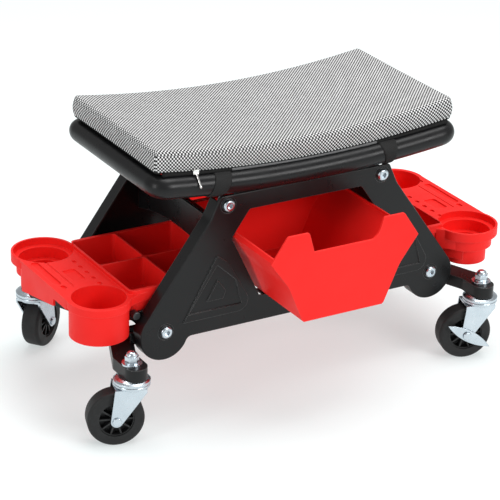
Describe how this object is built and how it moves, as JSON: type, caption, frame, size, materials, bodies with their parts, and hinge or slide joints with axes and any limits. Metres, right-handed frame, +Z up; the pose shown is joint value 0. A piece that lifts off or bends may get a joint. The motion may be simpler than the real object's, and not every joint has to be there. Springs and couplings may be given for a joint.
{
  "type": "mechanics creeper",
  "caption": "Low rolling creeper seat: saddle cushion on a tube ring, two black side panels, swivel casters, lift-out end trays and pull-out side bins.",
  "frame": {"origin": "on the floor, under the middle of the rectangle formed by the four caster stems", "axes": "+X along the seat's long axis, +Z up, -Y towards the front side panel"},
  "size_m": [0.5581, 0.364, 0.3211],
  "materials": {
    "black_steel": "satin black powder coat",
    "zinc": "bright zinc plate",
    "zip_metal": "polished nickel",
    "pin_steel": "dull grey steel",
    "red_plastic": "moulded polypropylene, semi-gloss",
    "hub_plastic": "moulded nylon",
    "tyre_rubber": "solid rubber",
    "tweed": "grey and black woven tweed",
    "elastic": "black elastic webbing"
  },
  "bodies": {
    "frame": {"side_panel_front": "black_steel", "side_panel_rear": "black_steel", "seat_ring": "black_steel", "seat_pan": "black_steel", "seat_lugs": "black_steel", "spreader_left": "black_steel", "spreader_right": "black_steel", "cross_tube_left": "black_steel", "cross_tube_right": "black_steel", "caster_beam_left": "black_steel", "caster_beam_right": "black_steel", "upper_bolts": "zinc", "lower_bolts": "zinc", "upper_nuts": "zinc", "stem_washers": "zinc", "stem_nuts": "zinc", "cushion": "tweed", "cushion_straps": "elastic", "zip_slider": "zip_metal", "caster_stem_front_left": "zinc", "caster_stem_front_right": "zinc", "caster_stem_rear_left": "zinc", "caster_stem_rear_right": "zinc"},
    "left_tray": {"tray_left": "red_plastic", "tray_pins_left": "pin_steel"},
    "right_tray": {"tray_right": "red_plastic", "tray_pins_right": "pin_steel"},
    "front_bin": {"bin_front": "red_plastic"},
    "rear_bin": {"bin_rear": "red_plastic"},
    "zip_tab": {"zip_pull": "zip_metal"},
    "caster_front_left": {"caster_fork_front_left": "zinc", "caster_axle_front_left": "zinc"},
    "wheel_front_left": {"wheel_hub_front_left": "hub_plastic", "tyre_front_left": "tyre_rubber"},
    "caster_front_right": {"caster_fork_front_right": "zinc", "caster_axle_front_right": "zinc"},
    "wheel_front_right": {"wheel_hub_front_right": "hub_plastic", "tyre_front_right": "tyre_rubber"},
    "caster_rear_left": {"caster_fork_rear_left": "zinc", "caster_axle_rear_left": "zinc"},
    "wheel_rear_left": {"wheel_hub_rear_left": "hub_plastic", "tyre_rear_left": "tyre_rubber"},
    "caster_rear_right": {"caster_fork_rear_right": "zinc", "caster_axle_rear_right": "zinc"},
    "wheel_rear_right": {"wheel_hub_rear_right": "hub_plastic", "tyre_rear_right": "tyre_rubber"},
    "brake_front_right": {"brake_pedal_front_right": "zinc"},
    "brake_rear_right": {"brake_pedal_rear_right": "zinc"}
  },
  "joints": [
    {"name": "swivel_front_left", "type": "hinge", "parent": "frame", "child": "caster_front_left", "pos_m": [-0.231, -0.1244, 0.075], "axis": [0, 0, 1], "continuous": true},
    {"name": "roll_front_left", "type": "hinge", "parent": "caster_front_left", "child": "wheel_front_left", "pos_m": [-0.2486, -0.11868, 0.03175], "axis": [-0.309, -0.9511, 0], "continuous": true},
    {"name": "swivel_front_right", "type": "hinge", "parent": "frame", "child": "caster_front_right", "pos_m": [0.231, -0.1244, 0.075], "axis": [0, 0, 1], "continuous": true},
    {"name": "roll_front_right", "type": "hinge", "parent": "caster_front_right", "child": "wheel_front_right", "pos_m": [0.21331, -0.11899, 0.03175], "axis": [-0.2924, -0.9563, 0], "continuous": true},
    {"name": "swivel_rear_left", "type": "hinge", "parent": "frame", "child": "caster_rear_left", "pos_m": [-0.231, 0.1244, 0.075], "axis": [0, 0, 1], "continuous": true},
    {"name": "roll_rear_left", "type": "hinge", "parent": "caster_rear_left", "child": "wheel_rear_left", "pos_m": [-0.21642, 0.13579, 0.03175], "axis": [-0.6157, 0.788, 0], "continuous": true},
    {"name": "swivel_rear_right", "type": "hinge", "parent": "frame", "child": "caster_rear_right", "pos_m": [0.231, 0.1244, 0.075], "axis": [0, 0, 1], "continuous": true},
    {"name": "roll_rear_right", "type": "hinge", "parent": "caster_rear_right", "child": "wheel_rear_right", "pos_m": [0.21423, 0.13222, 0.03175], "axis": [-0.4226, -0.9063, 0], "continuous": true},
    {"name": "brake_rock_front_right", "type": "hinge", "parent": "caster_front_right", "child": "brake_front_right", "pos_m": [0.21331, -0.11899, 0.03175], "axis": [-0.2924, -0.9563, 0], "range_deg": [0, 22]},
    {"name": "brake_rock_rear_right", "type": "hinge", "parent": "caster_rear_right", "child": "brake_rear_right", "pos_m": [0.21423, 0.13222, 0.03175], "axis": [-0.4226, -0.9063, 0], "range_deg": [0, 22]},
    {"name": "left_tray_lift", "type": "slide", "parent": "frame", "child": "left_tray", "axis": [0, 0, 1], "range_m": [0, 0.012]},
    {"name": "right_tray_lift", "type": "slide", "parent": "frame", "child": "right_tray", "axis": [0, 0, 1], "range_m": [0, 0.012]},
    {"name": "front_bin_pull", "type": "slide", "parent": "frame", "child": "front_bin", "axis": [0, -1, 0], "range_m": [0, 0.16]},
    {"name": "rear_bin_pull", "type": "slide", "parent": "frame", "child": "rear_bin", "axis": [0, 1, 0], "range_m": [0, 0.16]},
    {"name": "zip_pull_swing", "type": "hinge", "parent": "frame", "child": "zip_tab", "pos_m": [-0.144, -0.1043, 0.28999], "axis": [-1, 0, 0], "range_deg": [0, 90]}
  ]
}
